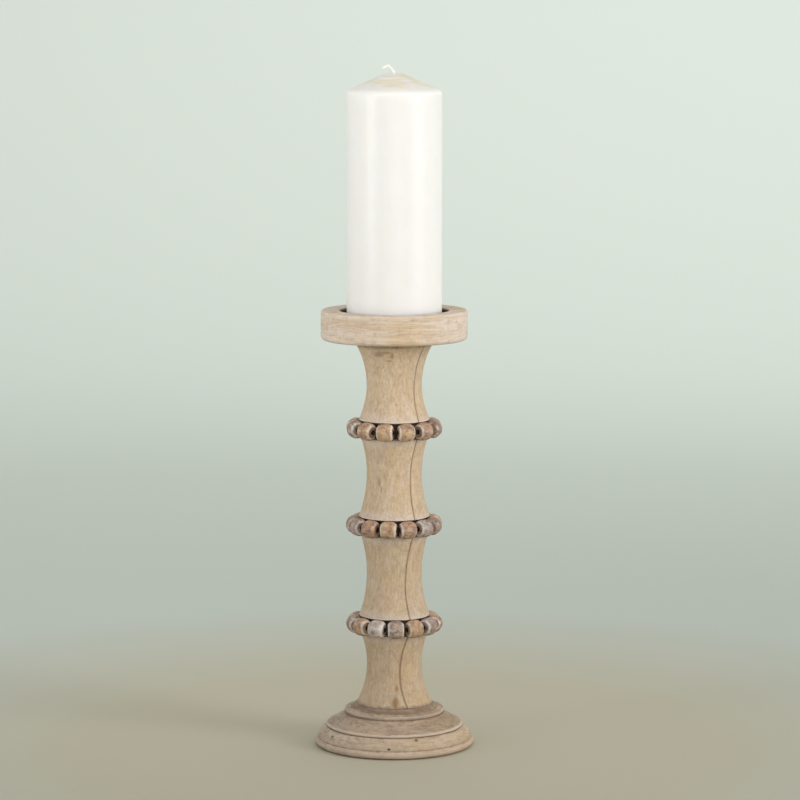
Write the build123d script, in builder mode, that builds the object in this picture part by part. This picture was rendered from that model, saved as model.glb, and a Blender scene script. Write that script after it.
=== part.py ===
from build123d import *
import os
from math import atan2, cos, isclose, radians, sin, sqrt, tan

# Pricket candle stand: a turned base, a stem glued up from two boards, three bead strings
# in grooves of the stem, a cup with a spike, and a pillar candle pricked on the spike.
# Millimetres, +Z up, origin on the resting plane at the middle of the felt, front towards -Y.

# Candle: a pillar with a low cone on top, rounded at its tip
candle_diameter = 70.0
candle_body_height = 170.4
candle_slope_angle = 24.8
candle_tip_round_radius = 11.7
candle_shoulder_round = 1.5
candle_foot_round = 1.0

# Wick: straight up the candle, then bent over to one side with a drooping tip
wick_radius = 1.1
wick_clearance = 0.05
wick_bottom_gap = 1.0
wick_stub = 0.3
wick_lean_angle = 44.0
wick_lean_length = 6.4
wick_tip_angle = 122.0
wick_tip_length = 4.8
wick_base_bend = 2.4
wick_top_bend = 2.2

# Spike, a steel pin through the washer and the cup into the end of the stem
spike_radius = 2.25
spike_height = 32.0
spike_tip_radius = 0.3
spike_shank_length = 30.0
spike_hole_clearance = 0.3
washer_radius = 9.0
washer_thickness = 1.0

# Cup, a turned disc with a round recess that the candle stands in
candle_side_gap = 5.0
cup_wall = 14.0
recess_depth = 12.0
cup_floor_thickness = 10.0
cup_bottom_round = 3.0
cup_top_round = 1.6
recess_edge_round = 1.2
recess_floor_round = 1.5

# Stem, four hollow spools from the bottom up, with a bead groove between neighbours
spool_lengths = (52.5, 60.0, 58.0, 58.5)
waist_shares = (0.55, 0.51, 0.55, 0.44)
spool_lip_radius = 26.2
spool_upper_lip_inset = 1.1
spool_lip_chamfer = 0.5
spool_hollow = 5.8
stem_foot_flare = 2.0
stem_head_flare = 4.0
groove_depth = 4.1
groove_wall_run = 1.4

# Glue seam between the two boards of the stem, a plane that leans across the axis
seam_azimuth = 51.4
seam_offset_at_foot = 14.4
seam_offset_at_head = 0.3

# Round tenons on both ends of the stem, and the wood left beyond their sockets
tenon_radius = 13.0
tenon_clearance = 0.1
tenon_end_gap = 0.4
base_web = 7.6
cup_web = 3.1

# Base, in turned mouldings from the bottom bead up to the seat of the stem
base_diameter = 118.0
foot_bead_height = 5.5
foot_bead_bulge = 2.2
ovolo_height = 8.6
ovolo_width = 7.0
lip_height = 2.2
lip_bulge = 1.1
slope_height = 7.9
slope_hollow = 0.4
step_height = 2.7
step_bulge = 0.6
cove_height = 4.1
cove_width = 7.7
cove_reveal = 0.5

# Felt disc, glued into a shallow recess under the base and standing a little proud of it
felt_margin = 6.8
felt_recess_depth = 1.0
felt_proud = 0.5
felt_clearance = 0.2

# Screw that draws the base up against the stem
screw_shank_radius = 2.5
screw_length = 40.0
screw_head_radius = 4.8
screw_head_height = 3.2
screw_point_length = 6.0
counterbore_clearance = 0.8
counterbore_depth = 6.5

# Fit of screw and spike: tight in the stem, loose in what they hold down
pilot_clearance = 0.05
shank_clearance = 0.3

# Bead strings, from the top down: barrel beads on a closed cord, the least gap between
# neighbours, and the angle of the first bead, counted from the front towards +X
string_names = ("upper", "middle", "lower")
bead_gaps = (1.5, 0.4, 0.4)
bead_start_angles = (17.0, -8.1, 2.3)
bead_diameter = 13.4
bead_length = 12.2
bead_belt_length = 2.0
bead_end_radius = 3.4
bead_seat_clearance = 0.4
bead_side_clearance = 0.2
cord_radius = 0.9
cord_clearance = 0.36
knot_radius = 1.6
knot_end_radius = 1.25
knot_clearance = 0.1

# Radii worked out from the sizes above, from the candle outwards and down the stem
candle_radius = candle_diameter / 2
wick_hole_radius = wick_radius + wick_clearance
recess_radius = candle_radius + candle_side_gap
cup_radius = recess_radius + cup_wall
waist_radius = spool_lip_radius - spool_hollow
upper_lip_radius = spool_lip_radius - spool_upper_lip_inset
stem_foot_radius = spool_lip_radius + stem_foot_flare
stem_head_radius = spool_lip_radius + stem_head_flare
neck_radius = spool_lip_radius - groove_depth
cove_top_radius = stem_foot_radius + cove_reveal
step_radius = cove_top_radius + cove_width
base_radius = base_diameter / 2
foot_bead_root = base_radius - foot_bead_bulge
lip_radius = foot_bead_root - ovolo_width
felt_radius = foot_bead_root - felt_margin
counterbore_radius = screw_head_radius + counterbore_clearance

# Heights worked out from the sizes above, from the floor upwards
base_underside = felt_proud
felt_top = base_underside + felt_recess_depth
foot_bead_top = base_underside + foot_bead_height
ovolo_top = foot_bead_top + ovolo_height
lip_top = ovolo_top + lip_height
slope_top = lip_top + slope_height
step_top = slope_top + step_height
base_top = step_top + cove_height
counterbore_top = felt_top + counterbore_depth
mortise_bottom = counterbore_top + base_web
foot_tenon_bottom = mortise_bottom + tenon_end_gap
screw_tip = counterbore_top + screw_length
groove_height = bead_diameter + 2 * bead_side_clearance
spool_count = len(spool_lengths)
spool_bottoms = [base_top + sum(spool_lengths[:i]) + i * groove_height for i in range(spool_count)]
spool_tops = [bottom + length for bottom, length in zip(spool_bottoms, spool_lengths)]
stem_top = spool_tops[-1]
cup_floor = stem_top + cup_floor_thickness
cup_top = cup_floor + recess_depth
socket_top = cup_floor - cup_web
head_tenon_top = socket_top - tenon_end_gap
candle_bottom = cup_floor + washer_thickness
candle_shoulder = candle_bottom + candle_body_height
candle_slope = radians(candle_slope_angle)
candle_slope_top = candle_shoulder + (candle_radius - candle_tip_round_radius) * tan(candle_slope)
candle_apex = candle_slope_top + (candle_tip_round_radius - wick_hole_radius) * tan(candle_slope / 2)
spike_bottom = candle_bottom - spike_shank_length
spike_tip = candle_bottom + spike_height
spike_hole_top = spike_tip + spike_hole_clearance

os.makedirs("parts", exist_ok=True)

# Base: one half outline turned about the axis, then the felt recess, screw hole and mortise
with BuildPart() as base:
    with BuildSketch(Plane.XZ):
        with BuildLine():
            Line((0, base_underside), (foot_bead_root, base_underside))
            ThreePointArc(
                (foot_bead_root, base_underside),
                (base_radius, base_underside + foot_bead_height / 2),
                (foot_bead_root, foot_bead_top),
            )
            TangentArc((foot_bead_root, foot_bead_top), (lip_radius, ovolo_top), tangent=(0, 1))
            ThreePointArc(
                (lip_radius, ovolo_top),
                (lip_radius + lip_bulge, ovolo_top + lip_height / 2),
                (lip_radius, lip_top),
            )
            SagittaArc((lip_radius, lip_top), (step_radius, slope_top), slope_hollow)
            ThreePointArc(
                (step_radius, slope_top),
                (step_radius + step_bulge, slope_top + step_height / 2),
                (step_radius, step_top),
            )
            TangentArc((step_radius, step_top), (cove_top_radius, base_top), tangent=(-1, 0))
            Polyline((cove_top_radius, base_top), (0, base_top), (0, base_underside))
        make_face()
    revolve(axis=Axis.Z)
    with BuildSketch(Plane.XY.offset(base_underside)):
        Circle(felt_radius + felt_clearance)
    extrude(amount=felt_recess_depth, mode=Mode.SUBTRACT)
    with BuildSketch(Plane.XY.offset(felt_top)):
        Circle(counterbore_radius)
    extrude(amount=counterbore_depth, mode=Mode.SUBTRACT)
    with BuildSketch(Plane.XY.offset(counterbore_top)):
        Circle(screw_shank_radius + shank_clearance)
    extrude(amount=base_web, mode=Mode.SUBTRACT)
    with BuildSketch(Plane.XY.offset(mortise_bottom)):
        Circle(tenon_radius + tenon_clearance)
    extrude(amount=base_top - mortise_bottom, mode=Mode.SUBTRACT)
base.part.label = "base"
export_step(base.part, "parts/base.step")

# Felt disc that the stand rests on
with BuildPart() as base_felt:
    with BuildSketch():
        Circle(felt_radius)
    extrude(amount=felt_top)
base_felt.part.label = "base_felt"
export_step(base_felt.part, "parts/base_felt.step")

# Screw up through the base into the stem, its head against the end of the counterbore
with BuildPart() as base_screw:
    with BuildSketch(Plane.XZ):
        with BuildLine():
            Polyline(
                (0, counterbore_top - screw_head_height),
                (screw_head_radius, counterbore_top - screw_head_height),
                (screw_head_radius, counterbore_top),
                (screw_shank_radius, counterbore_top),
                (screw_shank_radius, screw_tip - screw_point_length),
                (0, screw_tip),
                close=True,
            )
        make_face()
    revolve(axis=Axis.Z)
base_screw.part.label = "base_screw"
export_step(base_screw.part, "parts/base_screw.step")

# Stem as one turning: a tenon, four spools with bead grooves between them, a tenon
with BuildPart() as stem:
    with BuildSketch(Plane.XZ) as stem_section:
        with BuildLine():
            Polyline(
                (0, foot_tenon_bottom),
                (tenon_radius, foot_tenon_bottom),
                (tenon_radius, base_top),
                (stem_foot_radius, base_top),
            )
            for i, (bottom, top) in enumerate(zip(spool_bottoms, spool_tops)):
                is_last = i == spool_count - 1
                bottom_radius = spool_lip_radius if i else stem_foot_radius
                top_radius = stem_head_radius if is_last else upper_lip_radius
                waist = (waist_radius, bottom + waist_shares[i] * (top - bottom))
                TangentArc(waist, (bottom_radius, bottom), tangent=(0, -1))
                TangentArc(waist, (top_radius, top), tangent=(0, 1))
                if not is_last:
                    Polyline(
                        (upper_lip_radius, top),
                        (neck_radius, top + groove_wall_run),
                        (neck_radius, top + groove_height - groove_wall_run),
                        (spool_lip_radius, top + groove_height),
                    )
            Polyline(
                (stem_head_radius, stem_top),
                (tenon_radius, stem_top),
                (tenon_radius, head_tenon_top),
                (0, head_tenon_top),
                (0, foot_tenon_bottom),
            )
        make_face()
        lip_radii = (spool_lip_radius, upper_lip_radius)
        lips = [corner for corner in stem_section.vertices() if any(isclose(corner.X, r) for r in lip_radii)]
        chamfer(lips, spool_lip_chamfer)
    revolve(axis=Axis.Z)
    with BuildSketch(Plane.XY.offset(foot_tenon_bottom)):
        Circle(screw_shank_radius + pilot_clearance)
    extrude(amount=screw_tip - foot_tenon_bottom, mode=Mode.SUBTRACT)
    with BuildSketch(Plane.XY.offset(spike_bottom)):
        Circle(spike_radius + pilot_clearance)
    extrude(amount=head_tenon_top - spike_bottom, mode=Mode.SUBTRACT)

# The seam plane, with its normal towards the back board
seam_lean = atan2(seam_offset_at_foot - seam_offset_at_head, stem_top - base_top)
seam_out = Vector(cos(radians(seam_azimuth)), sin(radians(seam_azimuth)), 0)
seam_plane = Plane(
    origin=Vector(0, 0, base_top) - seam_out * seam_offset_at_foot,
    x_dir=(-seam_out.Y, seam_out.X, 0),
    z_dir=seam_out * cos(seam_lean) - Vector(0, 0, sin(seam_lean)),
)

# The two boards of the stem, cut apart at the seam
with BuildPart() as stem_back_board:
    add(stem.part)
    split(bisect_by=seam_plane, keep=Keep.TOP)
stem_back_board.part.label = "stem_back_board"
export_step(stem_back_board.part, "parts/stem_back_board.step")

with BuildPart() as stem_front_board:
    add(stem.part)
    split(bisect_by=seam_plane, keep=Keep.BOTTOM)
stem_front_board.part.label = "stem_front_board"
export_step(stem_front_board.part, "parts/stem_front_board.step")

# Cup: a turned disc with a round recess, a socket for the tenon and a hole for the spike
with BuildPart() as cup:
    with BuildSketch(Plane.XZ) as cup_section:
        with BuildLine():
            Polyline(
                (0, stem_top),
                (cup_radius, stem_top),
                (cup_radius, cup_top),
                (recess_radius, cup_top),
                (recess_radius, cup_floor),
                (0, cup_floor),
                close=True,
            )
        make_face()
        for corner, corner_round in (
            ((cup_radius, stem_top), cup_bottom_round),
            ((cup_radius, cup_top), cup_top_round),
            ((recess_radius, cup_top), recess_edge_round),
            ((recess_radius, cup_floor), recess_floor_round),
        ):
            fillet(cup_section.vertices().sort_by_distance(corner)[0], corner_round)
    revolve(axis=Axis.Z)
    with BuildSketch(Plane.XY.offset(stem_top)):
        Circle(tenon_radius + tenon_clearance)
    extrude(amount=socket_top - stem_top, mode=Mode.SUBTRACT)
    with BuildSketch(Plane.XY.offset(socket_top)):
        Circle(spike_radius + shank_clearance)
    extrude(amount=cup_web, mode=Mode.SUBTRACT)
cup.part.label = "cup"
export_step(cup.part, "parts/cup.step")

# Washer round the spike, on the floor of the cup
with BuildPart() as spike_washer:
    with BuildSketch(Plane.XY.offset(cup_floor)):
        Circle(washer_radius)
        Circle(spike_radius + pilot_clearance, mode=Mode.SUBTRACT)
    extrude(amount=washer_thickness)
spike_washer.part.label = "spike_washer"
export_step(spike_washer.part, "parts/spike_washer.step")

# Spike, with a straight shank in the wood and a long taper up into the candle
with BuildPart() as pricket_spike:
    with BuildSketch(Plane.XZ):
        with BuildLine():
            Polyline(
                (0, spike_bottom),
                (spike_radius, spike_bottom),
                (spike_radius, candle_bottom),
                (spike_tip_radius, spike_tip),
                (0, spike_tip),
                close=True,
            )
        make_face()
    revolve(axis=Axis.Z)
pricket_spike.part.label = "pricket_spike"
export_step(pricket_spike.part, "parts/pricket_spike.step")

# Candle, with the hole that the spike has made and the bore of the wick
with BuildPart() as candle:
    with BuildSketch(Plane.XZ) as candle_section:
        with BuildLine():
            Polyline(
                (wick_hole_radius, candle_apex),
                (wick_hole_radius, spike_hole_top),
                (spike_radius + spike_hole_clearance, candle_bottom),
                (candle_radius, candle_bottom),
                (candle_radius, candle_shoulder),
                (candle_tip_round_radius, candle_slope_top),
            )
            TangentArc(
                (candle_tip_round_radius, candle_slope_top),
                (wick_hole_radius, candle_apex),
                tangent=(-cos(candle_slope), sin(candle_slope)),
            )
        make_face()
        for corner, corner_round in (
            ((candle_radius, candle_shoulder), candle_shoulder_round),
            ((candle_radius, candle_bottom), candle_foot_round),
        ):
            fillet(candle_section.vertices().sort_by_distance(corner)[0], corner_round)
    revolve(axis=Axis.Z)
candle.part.label = "candle"
export_step(candle.part, "parts/candle.step")

# Wick, swept along straight runs joined by two bends
wick_bottom = spike_hole_top + wick_bottom_gap
lean = radians(wick_lean_angle)
droop = radians(wick_tip_angle)
wick_elbow = Vector(0, 0, candle_apex + wick_stub + wick_base_bend * tan(lean / 2))
wick_peak = wick_elbow + Vector(-sin(lean), 0, cos(lean)) * wick_lean_length
wick_tip = wick_peak + Vector(-sin(droop), 0, cos(droop)) * wick_tip_length
with BuildPart() as wick:
    with BuildLine():
        FilletPolyline(
            (0, 0, wick_bottom), wick_elbow, wick_peak, wick_tip, radius=(wick_base_bend, wick_top_bend)
        )
    with BuildSketch(Plane.XY.offset(wick_bottom)):
        Circle(wick_radius)
    sweep()
wick.part.label = "wick"
export_step(wick.part, "parts/wick.step")

# Bead strings: the beads seat on the neck of the groove, and the hole of a bead is as much
# wider than the cord as the cord's bend over the bead's length needs
string_radius = neck_radius + bead_seat_clearance + bead_diameter / 2
cord_sag = string_radius - sqrt(string_radius**2 - (bead_length / 2) ** 2)
bead_hole_radius = cord_radius + cord_sag + cord_clearance


def string_plane(angle, height):
    """Plane at a place on a bead string: X along the string, origin on its middle line."""
    outward = Vector(sin(radians(angle)), -cos(radians(angle)), 0)
    return Plane(
        origin=outward * string_radius + Vector(0, 0, height),
        x_dir=(-outward.Y, outward.X, 0),
        z_dir=(0, 0, 1),
    )


for string_name, bead_gap, start_angle, groove_bottom in zip(
    string_names, bead_gaps, bead_start_angles, reversed(spool_tops[:-1])
):
    string_height = groove_bottom + groove_height / 2

    # As many beads as go round with this gap, measured where their ends come closest
    bead_half_angle = atan2((bead_length + bead_gap) / 2, string_radius - bead_end_radius)
    bead_count = int(radians(180) / bead_half_angle)
    bead_pitch = 360 / bead_count

    # Closed cord, with its knot in the gap that is nearest to the back
    back_gap = round((180 - start_angle) / bead_pitch - 1 / 2)
    knot_plane = string_plane(start_angle + bead_pitch * (back_gap + 1 / 2), string_height)
    room = (string_radius - knot_radius) * tan(radians(bead_pitch / 2)) - bead_length / 2
    knot_end = room - knot_clearance
    with BuildPart() as bead_cord:
        with BuildSketch(Plane.XZ):
            with Locations((string_radius, string_height)):
                Circle(cord_radius)
        revolve(axis=Axis.Z)
        with BuildSketch(knot_plane):
            with BuildLine():
                Polyline(
                    (-knot_end, knot_end_radius),
                    (-knot_end, 0),
                    (knot_end, 0),
                    (knot_end, knot_end_radius),
                )
                ThreePointArc((knot_end, knot_end_radius), (0, knot_radius), (-knot_end, knot_end_radius))
            make_face()
        revolve(axis=Axis(knot_plane.origin, knot_plane.x_dir))
    bead_cord.part.label = f"bead_cord_{string_name}"
    export_step(bead_cord.part, f"parts/bead_cord_{string_name}.step")

    # Barrel beads, each turned about the line of its hole
    for number in range(bead_count):
        bead_plane = string_plane(start_angle + bead_pitch * number, string_height)
        with BuildPart() as bead:
            with BuildSketch(bead_plane):
                with BuildLine():
                    Polyline(
                        (-bead_length / 2, bead_end_radius),
                        (-bead_length / 2, bead_hole_radius),
                        (bead_length / 2, bead_hole_radius),
                        (bead_length / 2, bead_end_radius),
                    )
                    belt_end = (bead_belt_length / 2, bead_diameter / 2)
                    belt_start = (-bead_belt_length / 2, bead_diameter / 2)
                    TangentArc(belt_end, (bead_length / 2, bead_end_radius), tangent=(1, 0))
                    Line(belt_end, belt_start)
                    TangentArc(belt_start, (-bead_length / 2, bead_end_radius), tangent=(-1, 0))
                make_face()
            revolve(axis=Axis(bead_plane.origin, bead_plane.x_dir))
        bead_name = f"bead_{string_name}_{number + 1:02d}"
        bead.part.label = bead_name
        export_step(bead.part, f"parts/{bead_name}.step")
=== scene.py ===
"""Looks of a pricket candle stand: turned whitewashed wood, three bead strings and a pillar candle."""

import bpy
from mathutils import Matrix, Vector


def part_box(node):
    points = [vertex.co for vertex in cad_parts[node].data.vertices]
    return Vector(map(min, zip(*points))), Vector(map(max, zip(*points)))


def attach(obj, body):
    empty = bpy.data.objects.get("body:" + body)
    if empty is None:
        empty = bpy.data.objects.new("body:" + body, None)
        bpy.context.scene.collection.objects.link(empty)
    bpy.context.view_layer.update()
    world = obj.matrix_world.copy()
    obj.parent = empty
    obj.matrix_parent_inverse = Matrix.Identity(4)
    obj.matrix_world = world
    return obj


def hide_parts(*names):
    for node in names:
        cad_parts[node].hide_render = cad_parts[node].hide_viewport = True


bl_info = {
    "name": "Pricket Candle Stand",
    "version": (1, 0, 0),
    "blender": (4, 5, 0),
    "location": "View3D > Sidebar > Candle Stand",
    "description": "Dresses the packed candle stand in turned wood, beads, cord, wax and steel",
    "category": "Add Mesh",
}

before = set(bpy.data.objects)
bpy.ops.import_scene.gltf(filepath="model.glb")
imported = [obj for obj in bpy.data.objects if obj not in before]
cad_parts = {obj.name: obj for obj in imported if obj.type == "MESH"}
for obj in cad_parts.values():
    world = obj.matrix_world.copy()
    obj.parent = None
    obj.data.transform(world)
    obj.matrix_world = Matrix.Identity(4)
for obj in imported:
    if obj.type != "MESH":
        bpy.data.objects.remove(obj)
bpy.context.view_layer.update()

import math
import random

import bmesh
import bpy
from bpy.props import FloatProperty, FloatVectorProperty, PointerProperty
from mathutils import Matrix, Vector, noise

MM = 0.001
STRINGS = ("upper", "middle", "lower")


def linear(hex_colour):
    """Linear red, green and blue of an sRGB hex colour."""
    parts = [int(hex_colour[i : i + 2], 16) / 255 for i in (1, 3, 5)]
    return [part / 12.92 if part <= 0.04045 else ((part + 0.055) / 1.055) ** 2.4 for part in parts]


def length(name, description, millimetres):
    """A length that the user can change, given in millimetres."""
    return FloatProperty(
        name=name, description=description, default=millimetres * MM, unit="LENGTH", precision=4
    )


def tint(name, description, hex_colour):
    """A colour that the user can change, given as sRGB hex."""
    return FloatVectorProperty(
        name=name, description=description, default=linear(hex_colour), subtype="COLOR", min=0, max=1
    )


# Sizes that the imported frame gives

def radius_of(node):
    """Outer radius of a node that is turned about the stand's axis."""
    low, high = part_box(node)
    return max(*high.xy, *(-low.xy))


def height_of(node):
    """Bottom and top of a node."""
    low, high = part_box(node)
    return low.z, high.z


BASE_UNDERSIDE, BASE_TOP = height_of("base")
CUP_BOTTOM, CUP_TOP = height_of("cup")
CANDLE_BOTTOM, CANDLE_APEX = height_of("candle")
SPIKE_BOTTOM, SPIKE_TIP = height_of("pricket_spike")
WASHER_BOTTOM, WASHER_TOP = height_of("spike_washer")
FELT_BOTTOM, FELT_TOP = height_of("base_felt")
STEM_BOTTOM, STEM_TOP = height_of("stem_back_board")


def bead_nodes(string):
    """Names of a string's beads, in the order of their numbers."""
    return sorted(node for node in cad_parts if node.startswith(f"bead_{string}_"))


def bead_place(node):
    """Middle of a bead."""
    low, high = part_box(node)
    return (low + high) / 2


STRING_RADIUS = bead_place("bead_upper_01").xy.length
STRING_HEIGHTS = {string: bead_place(f"bead_{string}_01").z for string in STRINGS}


class BaseSizes(bpy.types.PropertyGroup):
    """Mouldings of the base, from the floor up."""

    foot_bead_height: length("Foot bead height", "Height of the half round at the floor", 5.5)
    foot_bead_bulge: length("Foot bead bulge", "How far the foot bead stands out of the side", 2.2)
    ovolo_height: length("Quarter round height", "Height of the quarter round above the foot bead", 8.6)
    ovolo_width: length("Quarter round width", "How far the quarter round draws in", 7.0)
    lip_height: length("Lip height", "Height of the small bead on top of the quarter round", 2.2)
    lip_bulge: length("Lip bulge", "How far the lip stands out", 1.1)
    slope_hollow: length("Slope hollow", "How far the long slope sinks below a straight line", 0.4)
    step_height: length("Step height", "Height of the step below the cove", 2.7)
    step_bulge: length("Step bulge", "How far the step swells out", 0.6)
    cove_height: length("Cove height", "Height of the cove round the foot of the stem", 4.1)
    cove_width: length("Cove width", "Width of the cove", 7.7)
    cove_reveal: length("Cove reveal", "Width of the flat between the cove and the stem", 0.5)
    mortise_radius: length("Mortise radius", "Radius of the socket for the stem", 13.1)
    mortise_bottom: length("Mortise bottom", "Height of the mortise's floor", 15.6)
    shank_hole_radius: length("Shank hole radius", "Radius of the hole for the screw", 2.8)
    counterbore_radius: length("Counterbore radius", "Radius of the hole for the screw's head", 5.6)
    counterbore_top: length("Counterbore top", "Height that the screw's head bears against", 8.0)
    felt_gap: length("Felt gap", "Clearance round the felt disc", 0.2)


class StemSizes(bpy.types.PropertyGroup):
    """Four spools and three bead grooves of the stem."""

    lip_radius: length("Lip radius", "Radius of a spool above a bead groove", 26.2)
    upper_lip_inset: length("Upper lip inset", "How much smaller a spool is below a bead groove", 1.1)
    lip_chamfer: length("Lip chamfer", "Broken edge of a spool's lip", 0.5)
    hollow: length("Hollow", "How far a spool draws in at its waist", 5.8)
    foot_flare: length("Foot flare", "How far the stem's foot is wider than the lips", 2.0)
    head_flare: length("Head flare", "How far the stem's head is wider than the lips", 4.0)
    groove_height: length("Groove height", "Height of a bead groove", 12.8)
    groove_depth: length("Groove depth", "Depth of a bead groove", 4.1)
    groove_wall_run: length("Groove wall run", "How much a groove narrows to its floor", 1.4)
    tenon_radius: length("Tenon radius", "Radius of the tenons at both ends", 13.0)
    screw_hole_radius: length("Screw hole radius", "Radius of the hole for the base screw", 2.55)
    screw_hole_top: length("Screw hole top", "Height that the base screw reaches", 48.0)
    spike_hole_radius: length("Spike hole radius", "Radius of the hole for the spike", 2.3)
    seam_foot_offset: length("Seam at the foot", "From the axis to the glue seam at the stem's foot", 14.4)
    seam_head_offset: length("Seam at the head", "From the axis to the glue seam at the stem's head", 0.3)
    seam_width: length("Seam width", "Half the width of the sunk glue line", 0.5)
    seam_depth: length("Seam depth", "Depth of the sunk glue line", 0.12)


class CupSizes(bpy.types.PropertyGroup):
    """Turned disc that carries the candle."""

    recess_radius: length("Recess radius", "Radius of the recess round the candle", 40.0)
    recess_depth: length("Recess depth", "Depth of the recess", 12.0)
    bottom_round: length("Bottom round", "Rounding of the lower edge", 3.0)
    top_round: length("Top round", "Rounding of the rim's outer edge", 1.6)
    recess_round: length("Recess round", "Rounding of the rim's inner edge", 1.2)
    floor_round: length("Floor round", "Rounding in the corner of the recess", 1.5)
    socket_radius: length("Socket radius", "Radius of the socket for the stem's tenon", 13.1)
    socket_top: length("Socket top", "Height of the socket's end", 308.8)
    spike_hole_radius: length("Spike hole radius", "Radius of the hole for the spike", 2.55)


class BeadSizes(bpy.types.PropertyGroup):
    """Barrel beads and their cord."""

    diameter: length("Diameter", "Largest diameter of a bead", 13.4)
    length: length("Length", "Length of a bead along its hole", 12.4)
    belt: length("Belt", "Length of the straight belt round a bead", 3.6)
    end_radius: length("End radius", "Radius of a bead's flat ends", 4.0)
    hole_radius: length("Hole radius", "Radius of a bead's hole", 1.5)
    unevenness: length("Unevenness", "How far a bead's surface is worn down in places", 0.3)
    cord_radius: length("Cord radius", "Radius of the twisted cord", 0.9)
    cord_lay: length("Cord lay", "Length of one twist of the cord", 5.0)


class CandleSizes(bpy.types.PropertyGroup):
    """Pillar candle and wick."""

    slope_rise: length("Slope rise", "Height of the straight slope of the pointed top", 10.766)
    tip_round_radius: length("Tip round radius", "Radius at which the rounded tip begins", 11.7)
    tip_rise: length("Tip rise", "Height of the rounded tip", 2.32)
    tip_bulge: length("Tip bulge", "How far the rounded tip swells out of its chord", 0.58)
    shoulder_round: length("Shoulder round", "Rounding between side and top", 2.5)
    foot_round: length("Foot round", "Rounding at the foot", 1.0)
    wick_hole_radius: length("Wick hole radius", "Radius of the wick's bore", 1.15)
    spike_hole_radius: length("Spike hole radius", "Radius of the hole that the spike has made", 2.55)
    spike_hole_clearance: length("Spike hole clearance", "Room above the spike's tip", 0.3)
    unevenness: length("Unevenness", "How far the moulded side waves", 0.15)
    wick_radius: length("Wick radius", "Half the thickness of the braided wick", 1.1)


class SteelSizes(bpy.types.PropertyGroup):
    """Spike and washer."""

    spike_tip_radius: length("Spike tip radius", "Radius of the blunted tip", 0.3)
    spike_radius: length("Spike radius", "Radius of the spike's shank", 2.25)
    washer_hole_radius: length("Washer hole radius", "Radius of the washer's hole", 2.3)
    washer_round: length("Washer round", "Rounding of the washer's edge", 0.3)


class FinishTints(bpy.types.PropertyGroup):
    """Colours of the finishes."""

    wood_light: tint("Light wood", "Pale early wood under the wash", "#CFB899")
    wood_dark: tint("Dark wood", "Darker late wood under the wash", "#B49A7E")
    wood_warm: tint("Warm wood", "Yellow-brown heart wood", "#C8A77C")
    wash: tint("Wash", "Pinkish white wash left on the wood", "#D3C4B8")
    pore: tint("Pore", "Open pores of the wood", "#86704F")
    mottle: tint("Mottle", "Grey-brown mottling of the wash", "#A4917C")
    # This tint also serves as painted shade: in the hollows, on the base, in the recess and under the cup
    stain: tint("Stain", "Brown stain gathered in the hollows", "#70543E")
    # Painted shade deep in the bead grooves and on the recess's wall; the same dark also fills the pits in
    # the base
    soot_and_shade: tint("Soot", "Dark dirt deep in the grooves and in the recess", "#2B201A")
    knot: tint("Knot", "Small knots and resin streaks", "#8E6C3C")
    glue: tint("Glue line", "Old glue in the seam of the stem", "#80603A")
    bead_wash: tint("Bead wash", "Worn white wash on the beads", "#DCD4CA")
    # This tint also serves as painted shade at the beads' holes and flat ends
    bead_dirt_and_shade: tint("Bead dirt", "Dark stain on the ends and in the pores of the beads", "#3A2A22")
    cord: tint("Cord", "Dark cotton cord", "#16110E")
    wax: tint("Wax", "Bleached paraffin wax", "#E0DEDB")
    # Painted shade: the darker cream of the candle's pointed top
    top_shade: tint("Melt", "Yellowed wax of the candle's top", "#D6CBB0")
    cotton: tint("Cotton", "Waxed cotton of the wick", "#F1EFE8")
    steel: tint("Steel", "Drawn steel of spike, washer and screw", "#B8B5AF")
    felt: tint("Felt", "Brown pressed felt", "#5A4B3C")
    floor_near: tint("Floor near the stand", "Warm floor colour round the stand", "#BEB8A4")
    floor_middle: tint("Floor behind the stand", "Grey-green floor colour behind the stand", "#C2C9C1")
    floor_far: tint("Backdrop", "Cool pale colour of the backdrop", "#DCE3DC")


class StandSettings(bpy.types.PropertyGroup):
    """All sizes and colours of the candle stand."""

    base: PointerProperty(type=BaseSizes)
    stem: PointerProperty(type=StemSizes)
    cup: PointerProperty(type=CupSizes)
    beads: PointerProperty(type=BeadSizes)
    candle: PointerProperty(type=CandleSizes)
    steel: PointerProperty(type=SteelSizes)
    tints: PointerProperty(type=FinishTints)


# Turning: half sections drawn with arcs and spun round the axis

MERGE = 1e-6
ROUND_STEPS = 6
ARC_STEPS = 8
SHARP_ANGLE = math.radians(38)
# Hand work on the turned wood: depth of its sanding, and depth and width of the chips in its edges
SANDED_DEPTH = 0.2 * MM
EDGE_CHIP = 0.8 * MM
CHIP_PATCH = 7 * MM


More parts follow.
